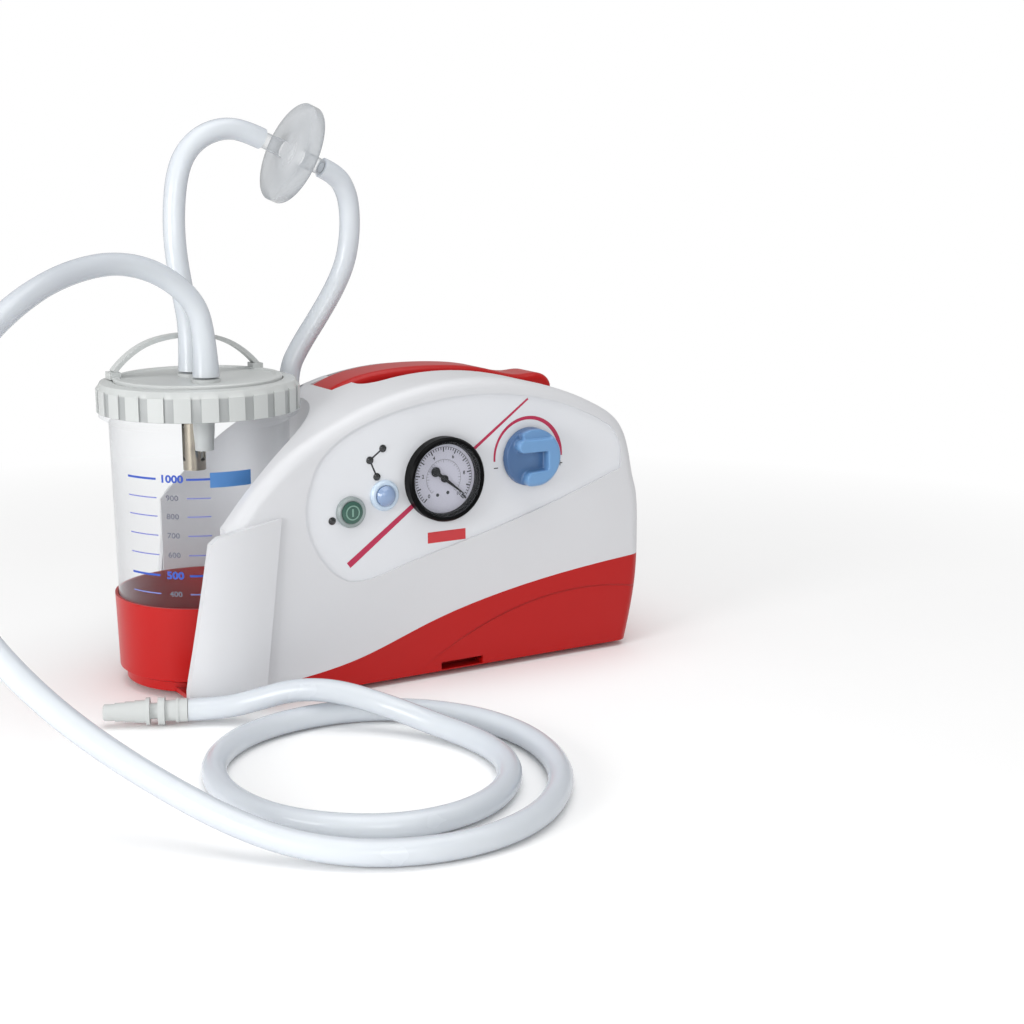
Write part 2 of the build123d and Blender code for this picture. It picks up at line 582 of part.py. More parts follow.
def hosePath(points, name):
    """Runs and tangent arcs, each arc as large as its two runs allow."""
    radii = []
    for a, b, c in zip(points, points[1:], points[2:]):
        run = min(math.dist(a, b), math.dist(b, c))
        turn = (Vector(b) - Vector(a)).get_angle(Vector(c) - Vector(b))
        radii.append(0.45 * run / math.tan(math.radians(turn) / 2))
    print(name, "smallest radius", round(min(radii), 1), "radii", [round(r) for r in radii])
    return FilletPolyline(*points, radius=radii)


def hose(name, points, bores):
    """One hose along its route, bored for the spouts."""
    path = hosePath(points, name)
    section = Plane(origin=path @ 0, z_dir=path % 0) * Circle(hoseR)
    tube = sweep(section, path=path)
    share = tube.volume / (math.pi * hoseR ** 2 * path.length)
    print(name, "length", round(path.length), "volume share", round(share, 3))
    for bore in bores:
        tube = tube - bore
    return save(name, tube)


frontX, frontY = frontSpout
suctionRoute = [(frontX, frontY, sleeveZ), (frontX, frontY, 229.0), (frontX - 6.0, frontY - 1.0, 251.0),
                (-146.0, -30.0, 269.0), (-174.0, -35.0, 277.0), (-206.0, -50.0, 274.0), (-240.0, -79.0, 265.0),
                (-272.0, -105.0, 248.0), (-301.0, -126.0, 222.0), (-319.0, -143.0, 188.0), (-324.0, -158.0, 152.0),
                (-316.0, -176.0, 118.0), (-300.0, -196.0, 89.0), (-280.0, -217.0, 64.0), (-258.0, -240.0, 44.0),
                (-237.0, -265.0, 29.0), (-218.0, -291.0, 18.0), (-196.0, -318.0, 10.0), (-168.0, -343.0, 7.4),
                (-134.0, -357.0, 7.3), (-99.0, -357.0, 7.3), (-68.0, -345.0, 7.3), (-42.0, -323.0, 7.3),
                (-22.0, -295.0, 7.3), (-10.0, -260.0, 7.3), (-8.0, -224.0, 7.3), (-17.0, -189.0, 7.3),
                (-37.0, -161.0, 7.3), (-64.0, -143.0, 7.3), (-96.0, -136.0, 7.3), (-128.0, -140.0, 7.3),
                (-157.0, -154.0, 7.3), (-181.0, -180.0, 7.3), (-193.0, -213.0, 7.3), (-194.0, -248.0, 7.3),
                (-184.0, -280.0, 7.3), (-163.0, -306.0, 7.3), (-134.0, -322.0, 7.3), (-102.0, -323.0, 7.3),
                (-73.0, -311.0, 7.3), (-50.0, -288.0, 7.3), (-37.0, -258.0, 7.3), (-36.0, -225.0, 7.3),
                (-46.0, -193.0, 9.0), (-64.0, -166.0, 16.0), (-87.0, -145.0, 23.5), (-107.0, -128.0, 23.0),
                (-124.0, -113.0, 15.5), (-142.0, -101.0, 9.2), (-162.0, -92.0, 9.2)]
filterR = 34.0
spoutX, spoutY = rearSpout
filterRoute = [(spoutX, spoutY, sleeveZ), (spoutX, spoutY, 228.0), (-118.5, 6.6, 252.0), (-122.0, 8.0, 278.0),
               (-122.0, 9.6, 302.0), (-118.5, 11.0, 326.0), (-112.0, 12.2, 341.0), (-100.0, 13.5, 351.6),
               (-84.6, 15.0, 356.6), (-70.0, 16.1, 355.3), (-57.0, 16.6, 349.7)]
returnRoute = [(-14.0, 18.4, 331.1), (-2.5, 18.9, 326.1), (4.5, 19.4, 315.0), (7.0, 20.0, 303.0),
               (7.6, 21.5, 287.0), (5.0, 23.5, 268.0), (-2.5, 26.0, 250.0), (-14.0, 28.5, 231.0),
               (-27.5, 29.6, 212.0), (inletX, inletY, 195.0), (inletX, inletY, inletBaseZ + 3.0)]


def boreAt(start, toward, deep):
    """A bore into a hose end."""
    way = (Vector(toward) - Vector(start)).normalized()
    plane = Plane(origin=Vector(start) - way * 0.5, z_dir=way)
    return extrude(plane * Circle(hoseBore), amount=deep + 0.5)


spoutDeep = spoutTopZ - sleeveZ + 0.4
connectorLong = 51.0
joinDeep = 12.0
filterStart = Vector(*filterRoute[-1])
filterEnd = Vector(*returnRoute[0])
portWay = (filterEnd - filterStart).normalized()
portDeep = 10.0
filterBore = extrude(Plane(origin=filterStart - portWay * (portDeep + 1.0), z_dir=portWay) * Circle(hoseBore),
                     amount=(filterEnd - filterStart).length + 2 * portDeep + 2.0)
hose("suction_hose", suctionRoute, [boreAt(suctionRoute[0], suctionRoute[1], spoutDeep),
                                                   boreAt(suctionRoute[-1], suctionRoute[-2], joinDeep)])
hose("filter_hose", filterRoute, [boreAt(filterRoute[0], filterRoute[1], spoutDeep), filterBore])
hose("return_hose", returnRoute, [filterBore, boreAt(returnRoute[-1], returnRoute[-2], inletTopZ - inletBaseZ)])

# Connector on the suction hose's free end: four growing steps, two flanges and a barrel
joint = Vector(*suctionRoute[-1])
way = joint - Vector(*suctionRoute[-2])
way = Vector(way.X, way.Y, 0).normalized()


def along(distances, start, direction):
    """A profile of (distance, radius) points spun about a line."""
    points = [(r, 0, d) for d, r in distances]
    low, high = distances[0][0], distances[-1][0]
    face = make_face(Polyline([(0, 0, low)] + points + [(0, 0, high)], close=True))
    return Plane(origin=start, z_dir=direction) * revolve(face, axis=Axis.Z)


connector = along([(-joinDeep + 0.6, 3.6), (0.3, 3.6), (0.3, 7.2), (5.6, 7.2), (5.6, 7.6), (7.4, 7.6), (7.4, 6.6),
                   (14.0, 6.4), (14.0, 8.6), (18.0, 8.6), (18.0, 5.0), (23.0, 5.0), (23.0, 8.4), (25.4, 8.4),
                   (25.4, 7.0), (32.0, 6.9), (32.0, 6.4), (38.0, 6.3), (38.0, 5.8), (44.0, 5.7), (44.0, 5.1),
                   (connectorLong - 0.8, 5.1), (connectorLong, 4.3)], joint, way)
connectorBore = extrude(Plane(origin=joint - way * 14, z_dir=way) * Circle(2.2), amount=80)
connector = connector - connectorBore
save("hose_connector", connector)

# Filter: a flat disc of two shells with a port on each side
filterMid = (filterStart + filterEnd) / 2
half = (filterEnd - filterStart).length / 2
filterBody = along([(-half - 10.0, 3.6), (-half + 0.3, 3.6), (-half + 0.3, 5.2), (-6.5, 6.0), (-5.0, 14.0), (-4.4, 30.0),
                    (-3.0, filterR), (3.0, filterR), (4.4, 30.0), (5.0, 14.0), (6.5, 6.0), (half - 0.3, 5.2),
                    (half - 0.3, 3.6), (half + 10.0, 3.6)], filterMid, portWay)
save("filter_disc", filterBody)
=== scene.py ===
# Looks of a portable vacuum aspirator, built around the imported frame. Metres, +Z up, panel towards -Y.
import json
import math
import bmesh
import bpy
from mathutils import Matrix, Vector


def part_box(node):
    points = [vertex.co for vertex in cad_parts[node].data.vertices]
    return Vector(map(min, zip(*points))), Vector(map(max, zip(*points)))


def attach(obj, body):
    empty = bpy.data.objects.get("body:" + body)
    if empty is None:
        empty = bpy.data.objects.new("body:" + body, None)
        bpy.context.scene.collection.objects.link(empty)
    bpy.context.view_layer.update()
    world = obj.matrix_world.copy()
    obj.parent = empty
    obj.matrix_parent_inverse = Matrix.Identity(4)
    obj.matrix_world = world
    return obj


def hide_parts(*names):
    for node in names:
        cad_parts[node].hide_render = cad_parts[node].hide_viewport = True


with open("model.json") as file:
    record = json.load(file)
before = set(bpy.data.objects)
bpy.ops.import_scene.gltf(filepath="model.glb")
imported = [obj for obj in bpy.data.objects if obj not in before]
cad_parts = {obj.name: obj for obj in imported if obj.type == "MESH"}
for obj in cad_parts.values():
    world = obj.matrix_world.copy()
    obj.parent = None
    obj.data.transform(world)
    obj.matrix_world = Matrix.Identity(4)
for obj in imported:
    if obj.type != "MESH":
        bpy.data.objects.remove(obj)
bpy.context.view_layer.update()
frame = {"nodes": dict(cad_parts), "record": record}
mm = 0.001
nodes = frame["nodes"]
middleY = 4.04  # the housing's middle plane, behind the origin
jarX = -113.0
slots = {part["node"]: part["material_slot"] for part in frame["record"]["subparts"]}
print("frame loaded", len(nodes))


def srgb(r, g, b, a=1.0):
    # colours are written as 0..255 screen values
    out = []
    for c in (r, g, b):
        c = c / 255.0
        out.append(c / 12.92 if c <= 0.04045 else ((c + 0.055) / 1.055) ** 2.4)
    return (out[0], out[1], out[2], a)


# A socket that can be used in sums, so shader maths reads as plain expressions
class Wire:
    def __init__(self, desk, socket):
        self.desk = desk
        self.socket = socket

    def sum(self, kind, other, swap=False):
        a, b = (other, self) if swap else (self, other)
        return self.desk.add("ShaderNodeMath", {"operation": kind}, {0: a, 1: b})

    def __add__(self, other): return self.sum("ADD", other)
    def __radd__(self, other): return self.sum("ADD", other, True)
    def __sub__(self, other): return self.sum("SUBTRACT", other)
    def __rsub__(self, other): return self.sum("SUBTRACT", other, True)
    def __mul__(self, other): return self.sum("MULTIPLY", other)
    def __rmul__(self, other): return self.sum("MULTIPLY", other, True)
    def __truediv__(self, other): return self.sum("DIVIDE", other)
    def __rtruediv__(self, other): return self.sum("DIVIDE", other, True)

    def clamp(self):
        return self.desk.add("ShaderNodeClamp", {}, {"Value": self})


# One material's node tree
class Desk:
    def __init__(self, name):
        self.material = bpy.data.materials.new(name)
        self.material.use_nodes = True
        self.tree = self.material.node_tree
        self.tree.nodes.clear()
        self.output = self.tree.nodes.new("ShaderNodeOutputMaterial")
        self.places = None

    def add(self, kind, settings=None, inputs=None, out=0):
        node = self.tree.nodes.new(kind)
        for key, value in (settings or {}).items():
            setattr(node, key, value)
        for key, value in (inputs or {}).items():
            if isinstance(value, Wire):
                self.tree.links.new(value.socket, node.inputs[key])
            else:
                node.inputs[key].default_value = value
        return Wire(self, node.outputs[out])

    def place(self):
        # where the point lies on the object, in metres
        if self.places is None:
            self.places = self.add("ShaderNodeTexCoord", {}, {}, out="Object")
        return self.places

    def along(self, axis):
        return self.add("ShaderNodeSeparateXYZ", {}, {0: self.place()}, out=axis)

    def noise(self, scale, detail=2.0, rough=0.5):
        return self.add("ShaderNodeTexNoise", {}, {"Vector": self.place(), "Scale": scale, "Detail": detail,
                                                   "Roughness": rough}, out="Fac")

    def blend(self, amount, first, second):
        return self.add("ShaderNodeMix", {"data_type": "RGBA"}, {0: amount, 6: first, 7: second}, out=2)

    def bump(self, height, strength, distance):
        return self.add("ShaderNodeBump", {}, {"Height": height, "Strength": strength, "Distance": distance})

    def finish(self, shader):
        self.tree.links.new(shader.socket, self.output.inputs["Surface"])
        return self.material

    def principled(self, settings):
        return self.add("ShaderNodeBsdfPrincipled", {}, settings)


# The fold that runs along the red base below the split: height over the table by length, in metres
baseFold = {"start": 0.0065, "rise": 0.62, "droop": 2.4, "crisp": 700.0, "fade": 20.0, "depth": 0.0012,
            "strength": 0.9}
grainStrength = 0.25


# Moulded plastic: a fine orange-peel, slight colour drift and uneven gloss; on request also painted shade in
# dents and in grooves and hollows
def mouldedPlastic(name, colour, rough=0.35, grain=2600.0, grainDepth=0.00003, drift=0.05, coat=0.0, sub=0.0,
                   paintedDentShade=None, shine=0.5, crease=False, hollow=None):
    desk = Desk(name)
    broad = desk.noise(14.0, 3.0)
    fine = desk.noise(grain, 2.0)
    shade = [c * (1.0 - drift) for c in colour[:3]] + [1.0]
    base = desk.blend(broad, shade, colour)
    if paintedDentShade is not None:
        # painted shade: dents and other concave places (low pointiness) are blended towards the darker colour
        surfacePointiness = desk.add("ShaderNodeNewGeometry", {}, {}, out="Pointiness")
        base = desk.blend(((0.5 - surfacePointiness) * 9.0).clamp(), base, paintedDentShade)
    if hollow is not None:
        # painted shade: a darker tone in grooves and hollows, by nearness to an upright axis, or by depth from
        # the front
        if hollow["axis"] is None:
            reached = desk.along("Y")
        else:
            across, deeper = desk.along("X") - hollow["axis"][0], desk.along("Y") - hollow["axis"][1]
            reached = desk.add("ShaderNodeMath", {"operation": "SQRT"}, {0: across * across + deeper * deeper})
        below = ((hollow["top"] - desk.along("Z")) * 900.0).clamp()
        share = ((reached - hollow["none"]) * (1.0 / (hollow["full"] - hollow["none"]))).clamp()
        base = desk.blend(share * below, base, hollow["tone"])
    surface = desk.bump(fine, grainStrength, grainDepth)
    if crease:
        # the fold fades out towards the jar
        x = desk.along("X")
        bend = x * baseFold["rise"] - x * x * baseFold["droop"]
        above = ((desk.along("Z") - baseFold["start"] - bend) * baseFold["crisp"] + 0.5).clamp()
        folded = above * (x * baseFold["fade"]).clamp() + fine * 0.02
        surface = desk.bump(folded, baseFold["strength"], baseFold["depth"])
    settings = {"Base Color": base, "Roughness": rough - 0.05 + broad * 0.08 + fine * 0.04,
                "Normal": surface, "IOR": 1.49, "Specular IOR Level": shine}
    if coat:
        settings["Coat Weight"] = coat
        settings["Coat Roughness"] = 0.12
    if sub:
        settings["Subsurface Weight"] = sub
        settings["Subsurface Radius"] = (0.004, 0.004, 0.004)
        settings["Subsurface Scale"] = 0.6
    return desk.finish(desk.principled(settings))


def clearPlastic(name, colour, low, high, rough=0.06, power=1.35, level=1.0):
    # thin clear moulding: nearly see-through head on and denser towards its edges;
    # level is how much of that density the flat, level parts keep
    desk = Desk(name)
    facing = desk.add("ShaderNodeLayerWeight", {}, {"Blend": 0.35}, out="Facing")
    ripple = desk.noise(60.0, 2.0)
    body = desk.principled({"Base Color": colour, "Roughness": rough, "IOR": 1.5, "Coat Weight": 0.6,
                            "Coat Roughness": 0.04, "Normal": desk.bump(ripple, 0.12, 0.0004)})
    clear = desk.add("ShaderNodeBsdfTransparent", {}, {"Color": (0.985, 0.99, 0.995, 1.0)})
    faced = desk.add("ShaderNodeTexCoord", {}, {}, out="Normal")
    upright = desk.add("ShaderNodeSeparateXYZ", {}, {0: faced}, out="Z")
    flat = desk.add("ShaderNodeMath", {"operation": "ABSOLUTE"}, {0: upright})
    kept = 1.0 - ((flat - 0.6) * 4.0).clamp() * (1.0 - level)
    share = ((low + facing * facing * (high - low) * power + ripple * 0.02) * kept).clamp()
    return desk.finish(desk.add("ShaderNodeMixShader", {}, {0: share, 1: clear, 2: body}))


def siliconeTube(name, colour, shade, share=0.9):
    # milky translucent hose: the wall reads denser at its edges
    desk = Desk(name)
    facing = desk.add("ShaderNodeLayerWeight", {}, {"Blend": 0.5}, out="Facing")
    cloud = desk.noise(22.0, 3.0)
    fine = desk.noise(900.0, 2.0)
    tone = desk.blend((facing * 0.7 + cloud * 0.3).clamp(), colour, shade)
    body = desk.principled({"Base Color": tone, "Roughness": 0.22 + cloud * 0.08, "IOR": 1.43,
                            "Subsurface Weight": 0.35, "Subsurface Radius": (0.006, 0.006, 0.0065),
                            "Subsurface Scale": 1.0, "Coat Weight": 0.25, "Coat Roughness": 0.1,
                            "Normal": desk.bump(fine, 0.1, 0.00003)})
    clear = desk.add("ShaderNodeBsdfTransparent", {}, {"Color": (0.95, 0.96, 0.98, 1.0)})
    dense = (share + facing * 0.1).clamp()
    return desk.finish(desk.add("ShaderNodeMixShader", {}, {0: dense, 1: clear, 2: body}))


def darker(colour, share):
    return [c * share for c in colour[:3]] + [1]


def metal(name, colour, rough=0.3, grain=700.0):
    desk = Desk(name)
    streak = desk.noise(grain, 2.0)
    patch = desk.noise(40.0, 2.0)
    return desk.finish(desk.principled({"Base Color": desk.blend(patch, colour, darker(colour, 0.8)),
                                        "Metallic": 1.0, "Roughness": rough + streak * 0.12 - 0.04,
                                        "Normal": desk.bump(streak, 0.2, 0.00004)}))


def printedInk(name, colour, rough=0.45):
    desk = Desk(name)
    speck = desk.noise(3000.0, 1.0)
    return desk.finish(desk.principled({"Base Color": desk.blend(speck, colour, darker(colour, 0.86)),
                                        "Roughness": rough + speck * 0.06}))


white = srgb(210, 211, 214)
red = srgb(178, 12, 10)
lidGrey = srgb(194, 197, 196)
crimson = srgb(186, 36, 78)
# painted shade: the darker red that dents and concave places of the red parts are blended towards
redDentShade = srgb(120, 12, 12)

# the darker colours given to the white and red shells below are painted shade in their dents
finishes = {
    "white_plastic": mouldedPlastic("whiteShell", white, 0.34, paintedDentShade=srgb(190, 192, 196)),
    "overlay_film": mouldedPlastic("panelFilm", srgb(220, 222, 226), 0.3, 3200.0, 0.00002, 0.03),
    "red_plastic": mouldedPlastic("redShell", red, 0.3, paintedDentShade=redDentShade, shine=0.3),
    "grey_plastic": mouldedPlastic("lidPlastic", lidGrey, 0.38, sub=0.1),
    "clear_plastic": clearPlastic("clearWall", srgb(205, 208, 212), 0.035, 0.75, level=0.08),
    "black_plastic": mouldedPlastic("blackCase", srgb(7, 7, 8), 0.34, grainDepth=0.000004, shine=0.08),
    "dial_face": mouldedPlastic("dialPaper", srgb(206, 204, 216), 0.5, 4000.0, 0.00001, 0.03),
    "silicone": siliconeTube("siliconeWall", srgb(222, 227, 231), srgb(180, 186, 196)),
    "blue_plastic": mouldedPlastic("bluePlastic", srgb(104, 146, 190), 0.34, sub=0.05),
    "green_plastic": mouldedPlastic("greenCap", srgb(46, 88, 76), 0.25, coat=0.4),
    "ring_grey": mouldedPlastic("ringGrey", srgb(142, 152, 152), 0.33),
    "ring_blue": mouldedPlastic("ringBlue", srgb(196, 212, 228), 0.28, sub=0.2),
    "lamp_black": mouldedPlastic("lampCap", srgb(30, 32, 34), 0.2, coat=0.5),
    "steel": metal("groundSteel", srgb(196, 196, 194)),
    "brass": metal("turnedBrass", srgb(205, 170, 100)),
    "cast_alloy": metal("castAlloy", srgb(180, 182, 184), 0.45, 300.0),
    "dark_rubber": mouldedPlastic("darkRubber", srgb(38, 38, 40), 0.7),
    "board_green": mouldedPlastic("boardCoat", srgb(30, 96, 52), 0.4),
}
# the base's darker red in its dents is painted shade, as on the red shell
baseRed = mouldedPlastic("baseRed", red, 0.3, paintedDentShade=redDentShade, shine=0.3, crease=True)
filterClear = clearPlastic("filterClear", srgb(176, 180, 184), 0.14, 1.0, 0.04, 2.6)
windowClear = clearPlastic("windowClear", srgb(200, 204, 210), 0.015, 0.25)
cageMetal = metal("cageMetal", srgb(168, 160, 146), 0.16, 300.0)
domeBlue = mouldedPlastic("domeBlue", srgb(136, 158, 192), 0.18, coat=0.5, sub=0.2)
inkRed = printedInk("inkCrimson", crimson)
inkBlack = printedInk("inkBlack", srgb(40, 40, 46))
inkGrey = printedInk("inkGrey", srgb(120, 122, 130))
inkBlue = printedInk("inkBlue", srgb(40, 78, 178))
inkFaint = printedInk("inkFaintBlue", srgb(118, 124, 190))
inkNumber = printedInk("inkNumberGrey", srgb(100, 102, 116))
inkLabel = printedInk("inkLabelBlue", srgb(74, 128, 190))
inkGreen = printedInk("inkPaleGreen", srgb(128, 166, 152))
inkPlate = printedInk("inkPlate", srgb(205, 52, 58))
print("materials made", len(finishes))


def coat(piece, material):
    piece.data.materials.clear()
    piece.data.materials.append(material)


def show(name, mesh, material, body):
    # one finished mesh as a piece on its body
    piece = bpy.data.objects.new(name, mesh)
    bpy.context.scene.collection.objects.link(piece)
    coat(piece, material)
    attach(piece, body)
    return piece


def fromBmesh(name, bm):
    mesh = bpy.data.meshes.new(name)
    bm.to_mesh(mesh)
    bm.free()
    return mesh


def smoothByAngle(mesh, degrees):
    # soft shading except across real edges
    bm = bmesh.new()
    bm.from_mesh(mesh)
    limit = math.radians(degrees)
    for face in bm.faces:
        face.smooth = True
    for edge in bm.edges:
        edge.smooth = len(edge.link_faces) != 2 or edge.calc_face_angle(0.0) < limit
    bm.to_mesh(mesh)
    bm.free()


bodyOf = {node: body for body, group in frame["record"]["behaviour"]["bodies"].items() for node in group}


def dressed(node, degrees=32.0):
    # the CAD node's own shape, welded and softly shaded
    source = nodes[node]
    mesh = source.data.copy()
    mesh.transform(source.matrix_world)
    bm = bmesh.new()
    bm.from_mesh(mesh)
    bmesh.ops.remove_doubles(bm, verts=bm.verts, dist=0.000002)
    bm.to_mesh(mesh)
    bm.free()
    mesh.name = node + "Skin"
    if "custom_normal" in mesh.attributes:
        mesh.attributes.remove(mesh.attributes["custom_normal"])
    smoothByAngle(mesh, degrees)
    piece = show(node + "_skin", mesh, finishes[slots[node]], bodyOf[node])
    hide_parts(node)
    return piece


for node, thing in nodes.items():
    coat(thing, finishes[slots[node]])

# Camera as in the photograph: low, in front and to the left
view = {"place": (-0.5189, -1.06156, 0.3454), "down": 11.83, "turn": 31.08, "lens": 61.5, "sensor": 36.0}
cameraData = bpy.data.cameras.new("camera")
cameraData.lens = view["lens"]
cameraData.sensor_width = view["sensor"]
camera = bpy.data.objects.new("camera", cameraData)
camera.location = view["place"]
camera.rotation_euler = (math.radians(90.0 - view["down"]), 0.0, -math.radians(view["turn"]))
bpy.context.scene.collection.objects.link(camera)
bpy.context.scene.camera = camera
print("camera set")

# Hoses
hoseLook = {"radius": 7.0 * mm, "ringPoints": 8, "stretched": 8.6 * mm}
suctionRoute = [(-118.0, -27.0, 203.0), (-118.0, -27.0, 229.0), (-124.0, -28.0, 251.0),
                (-146.0, -30.0, 269.0), (-174.0, -35.0, 277.0), (-206.0, -50.0, 274.0),
                (-240.0, -79.0, 265.0), (-272.0, -105.0, 248.0), (-301.0, -126.0, 222.0),
                (-319.0, -143.0, 188.0), (-324.0, -158.0, 152.0), (-316.0, -176.0, 118.0),
                (-300.0, -196.0, 89.0), (-280.0, -217.0, 64.0), (-258.0, -240.0, 44.0),
                (-237.0, -265.0, 29.0), (-218.0, -291.0, 18.0), (-196.0, -318.0, 10.0),
                (-168.0, -343.0, 7.4), (-134.0, -357.0, 7.3), (-99.0, -357.0, 7.3), (-68.0, -345.0, 7.3),
                (-42.0, -323.0, 7.3), (-22.0, -295.0, 7.3), (-10.0, -260.0, 7.3), (-8.0, -224.0, 7.3),
                (-17.0, -189.0, 7.3), (-37.0, -161.0, 7.3), (-64.0, -143.0, 7.3), (-96.0, -136.0, 7.3),
                (-128.0, -140.0, 7.3), (-157.0, -154.0, 7.3), (-181.0, -180.0, 7.3),
                (-193.0, -213.0, 7.3), (-194.0, -248.0, 7.3), (-184.0, -280.0, 7.3),
                (-163.0, -306.0, 7.3), (-134.0, -322.0, 7.3), (-102.0, -323.0, 7.3),
                (-73.0, -311.0, 7.3), (-50.0, -288.0, 7.3), (-37.0, -258.0, 7.3), (-36.0, -225.0, 7.3),
                (-46.0, -193.0, 9.0), (-64.0, -166.0, 16.0), (-87.0, -145.0, 23.5),
                (-107.0, -128.0, 23.0), (-124.0, -113.0, 15.5), (-142.0, -101.0, 9.2),
                (-162.0, -92.0, 9.2)]
filterRoute = [(-115.0, 6.0, 203.0), (-115.0, 6.0, 228.0), (-118.5, 6.6, 252.0), (-122.0, 8.0, 278.0),
               (-122.0, 9.6, 302.0), (-118.5, 11.0, 326.0), (-112.0, 12.2, 341.0), (-100.0, 13.5, 351.6),
               (-84.6, 15.0, 356.6), (-70.0, 16.1, 355.3), (-57.0, 16.6, 349.7)]
returnRoute = [(-14.0, 18.4, 331.1), (-2.5, 18.9, 326.1), (4.5, 19.4, 315.0), (7.0, 20.0, 303.0),
               (7.6, 21.5, 287.0), (5.0, 23.5, 268.0), (-2.5, 26.0, 250.0), (-14.0, 28.5, 231.0),
               (-27.5, 29.6, 212.0), (-37.0, 30.0, 195.0), (-37.0, 30.0, 175.0)]


def hoseCurve(name, route):
    # one smooth spline with the route's points as its control points
    curve = bpy.data.curves.new(name, "CURVE")
    curve.dimensions = "3D"
    spline = curve.splines.new("NURBS")
    spline.points.add(len(route) - 1)
    for point, (x, y, z) in zip(spline.points, route):
        point.co = (x * mm, (y + middleY) * mm, z * mm, 1.0)
        point.radius = hoseLook["radius"]
    spline.order_u = 3
    spline.use_endpoint_u = True
    curve.resolution_u = hoseLook["ringPoints"]
    curve.bevel_depth = 1.0
    curve.bevel_resolution = 6
    curve.use_fill_caps = True
    piece = bpy.data.objects.new(name, curve)
    bpy.context.scene.collection.objects.link(piece)
    piece.data.materials.append(finishes["silicone"])
    return piece


def hose(name, route, node, stretched):
    # a hose in place of its CAD node; stretched where it is pushed over a spout of the lid
    piece = hoseCurve(name, route)
    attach(piece, "lid")
    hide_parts(node)
    if stretched:
        piece.data.splines[0].points[0].radius = hoseLook["stretched"]
    return piece


suction = hose("suction_line", suctionRoute, "suction_hose", True)
filterLine = hose("filter_line", filterRoute, "filter_hose", True)
returnLine = hose("return_line", returnRoute, "return_hose", False)
connectorSkin = dressed("hose_connector", 30.0)
filterSkin = dressed("filter_disc", 30.0)


print("hoses laid")

# Everything rigid keeps its CAD shape with soft shading
skins = {}
for node in ("upper_cover", "lower_base", "carry_grip", "panel_overlay", "gauge_case", "gauge_dial",
             "gauge_needle", "gauge_window", "power_button_ring", "power_button", "push_button_ring",
             "push_button", "indicator_lamps", "vacuum_knob", "inlet_barb", "collection_jar", "lid_disc",
             "lid_ring", "lid_handle", "float_cage", "float", "lid_gasket", "rubber_feet", "power_inlet"):
    skins[node] = dressed(node)
coat(skins["push_button"], domeBlue)
coat(skins["lower_base"], baseRed)
coat(skins["gauge_window"], windowClear)
coat(skins["float_cage"], cageMetal)
# painted shade: the lid ring's grooves, below its top, are coloured a darker grey
ringGrooveShade = {"tone": srgb(160, 163, 163), "axis": (jarX * mm, middleY * mm), "none": 0.0648, "full": 0.0638,
               "top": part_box("lid_ring")[1].z - 0.0042}
coat(skins["lid_ring"], mouldedPlastic("ringRibbed", lidGrey, 0.24, hollow=ringGrooveShade))
coat(filterSkin, filterClear)


def outerOnly(mesh, x, y, floorTop):
    # keeps the outside of a turned clear part, so light crosses each wall once
    bm = bmesh.new()
    bm.from_mesh(mesh)
    inside = []
    for face in bm.faces:
        middle = face.calc_center_median()
        away = Vector((middle.x - x, middle.y - y, 0.0))
        if away.length > 0:
            away.normalize()
        inward = face.normal.dot(away) < -0.2
        if inward or (face.normal.z > 0.5 and middle.z < floorTop):
            inside.append(face)
    bmesh.ops.delete(bm, geom=inside, context="FACES")
    bm.to_mesh(mesh)
    bm.free()


jarFloorTop = 30.0 * mm
outerOnly(skins["collection_jar"].data, jarX * mm, middleY * mm, jarFloorTop)


def softened(piece, voxel, rounds, name):
    # remeshes a piece evenly and rounds its edges, as a moulding has them
    shape = piece.modifiers.new("even", "REMESH")
    shape.mode = "VOXEL"
    shape.voxel_size = voxel
    ease = piece.modifiers.new("ease", "SMOOTH")
    ease.factor = 0.5
    ease.iterations = rounds
    graph = bpy.context.evaluated_depsgraph_get()
    mesh = bpy.data.meshes.new_from_object(piece.evaluated_get(graph), depsgraph=graph)
    piece.modifiers.clear()
    for polygon in mesh.polygons:
        polygon.use_smooth = True
    mesh.name = name
    return mesh


# the knob's second colour is painted shade for its hollow
knob = {"voxel": 0.6 * mm, "rounds": 6, "colour": srgb(108, 152, 198), "hollow": srgb(66, 98, 140)}
knobMesh = softened(skins["vacuum_knob"], knob["voxel"], knob["rounds"], "knobForm")
knobFront = min(vertex.co.y for vertex in knobMesh.vertices)
# painted shade: the knob turns darker from 2 mm to 7.5 mm behind its front
knobHollowShade = {"tone": knob["hollow"], "axis": None, "none": knobFront + 0.002, "full": knobFront + 0.0075,
              "top": 1.0}
skins["vacuum_knob"].data = knobMesh
coat(skins["vacuum_knob"], mouldedPlastic("knobBlue", knob["colour"], 0.3, sub=0.05, hollow=knobHollowShade))
print("skins made", len(skins))

# Printing on the panel: thin sheets just proud of the film, drawn as (x, z) outlines in millimetres
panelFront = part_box("panel_overlay")[0].y / mm
print("panel front", round(panelFront, 3))


def onPlane(name, shapes, out, material, body, thick=0.0):
    # flat outlines on a plane that faces the front; thick gives them a body behind
    bm = bmesh.new()
    for outline in shapes:
        ring = [bm.verts.new((x * mm, out * mm, z * mm)) for x, z in outline]
        face = bm.faces.new(ring)
        face.normal_update()
        if face.normal.y > 0:
            face.normal_flip()
    if thick:
        grown = bmesh.ops.extrude_face_region(bm, geom=bm.faces[:])
        moved = [v for v in grown["geom"] if isinstance(v, bmesh.types.BMVert)]
        bmesh.ops.translate(bm, verts=moved, vec=(0, -thick * mm, 0))
        bmesh.ops.recalc_face_normals(bm, faces=bm.faces)
    return show(name, fromBmesh(name, bm), material, body)


